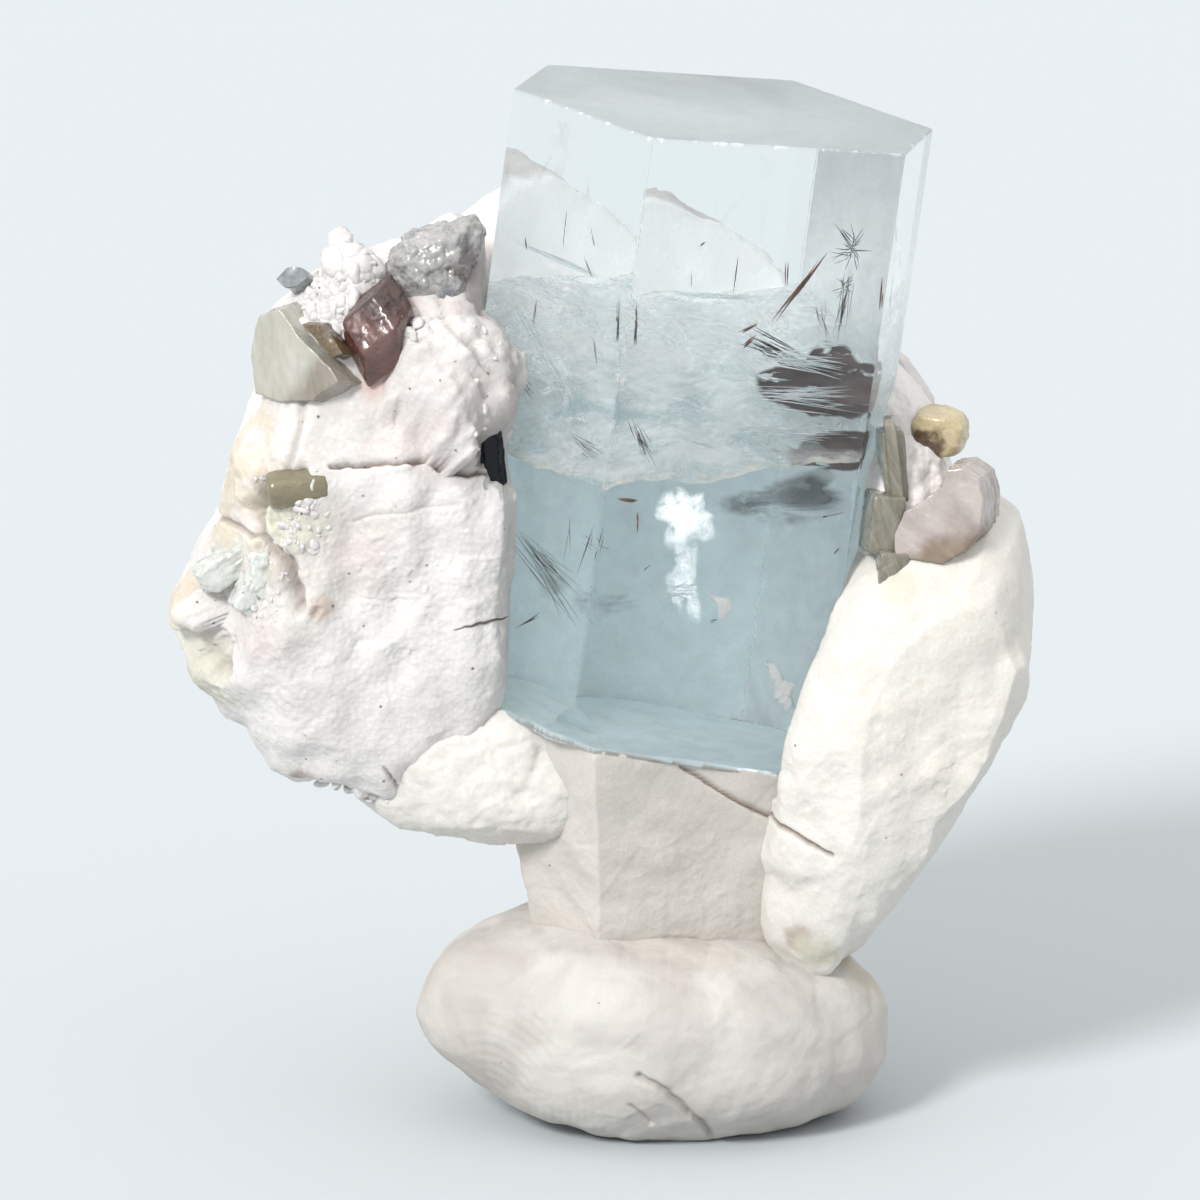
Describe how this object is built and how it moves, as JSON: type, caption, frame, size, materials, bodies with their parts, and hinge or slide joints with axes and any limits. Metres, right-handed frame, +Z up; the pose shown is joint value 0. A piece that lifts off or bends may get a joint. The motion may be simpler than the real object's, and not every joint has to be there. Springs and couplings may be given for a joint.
{
  "type": "aquamarine crystal specimen",
  "caption": "Clear pale-blue aquamarine prism in white albite and cream feldspar with small accessory crystals, stood upright in a rolled lump of white putty.",
  "frame": {"origin": "the middle of the flat foot under the putty", "axes": "+Z up, +X to the right as seen from the front, and the front faces -Y"},
  "size_m": [0.0517, 0.0258, 0.0636],
  "materials": {
    "aquamarine_crystal": "polished",
    "albite_matrix": "matte",
    "feldspar_block": "matte",
    "putty_base": "matte",
    "garnet": "gloss",
    "muscovite_plate_left": "satin",
    "brown_wedge": "satin",
    "grey_quartz": "satin",
    "grey_flake": "satin",
    "olive_crystal": "satin",
    "glassy_cluster": "gloss",
    "black_tourmaline": "gloss",
    "dark_mica": "satin",
    "olive_blades": "satin",
    "muscovite_book": "satin",
    "yellow_crystal": "satin"
  },
  "bodies": {
    "root": {"aquamarine_crystal": "aquamarine_crystal", "albite_matrix": "albite_matrix", "feldspar_block": "feldspar_block", "putty_base": "putty_base", "garnet": "garnet", "muscovite_plate_left": "muscovite_plate_left", "brown_wedge": "brown_wedge", "grey_quartz": "grey_quartz", "grey_flake": "grey_flake", "olive_crystal": "olive_crystal", "glassy_cluster": "glassy_cluster", "black_tourmaline": "black_tourmaline", "dark_mica": "dark_mica", "olive_blades": "olive_blades", "muscovite_book": "muscovite_book", "yellow_crystal": "yellow_crystal"}
  },
  "joints": []
}
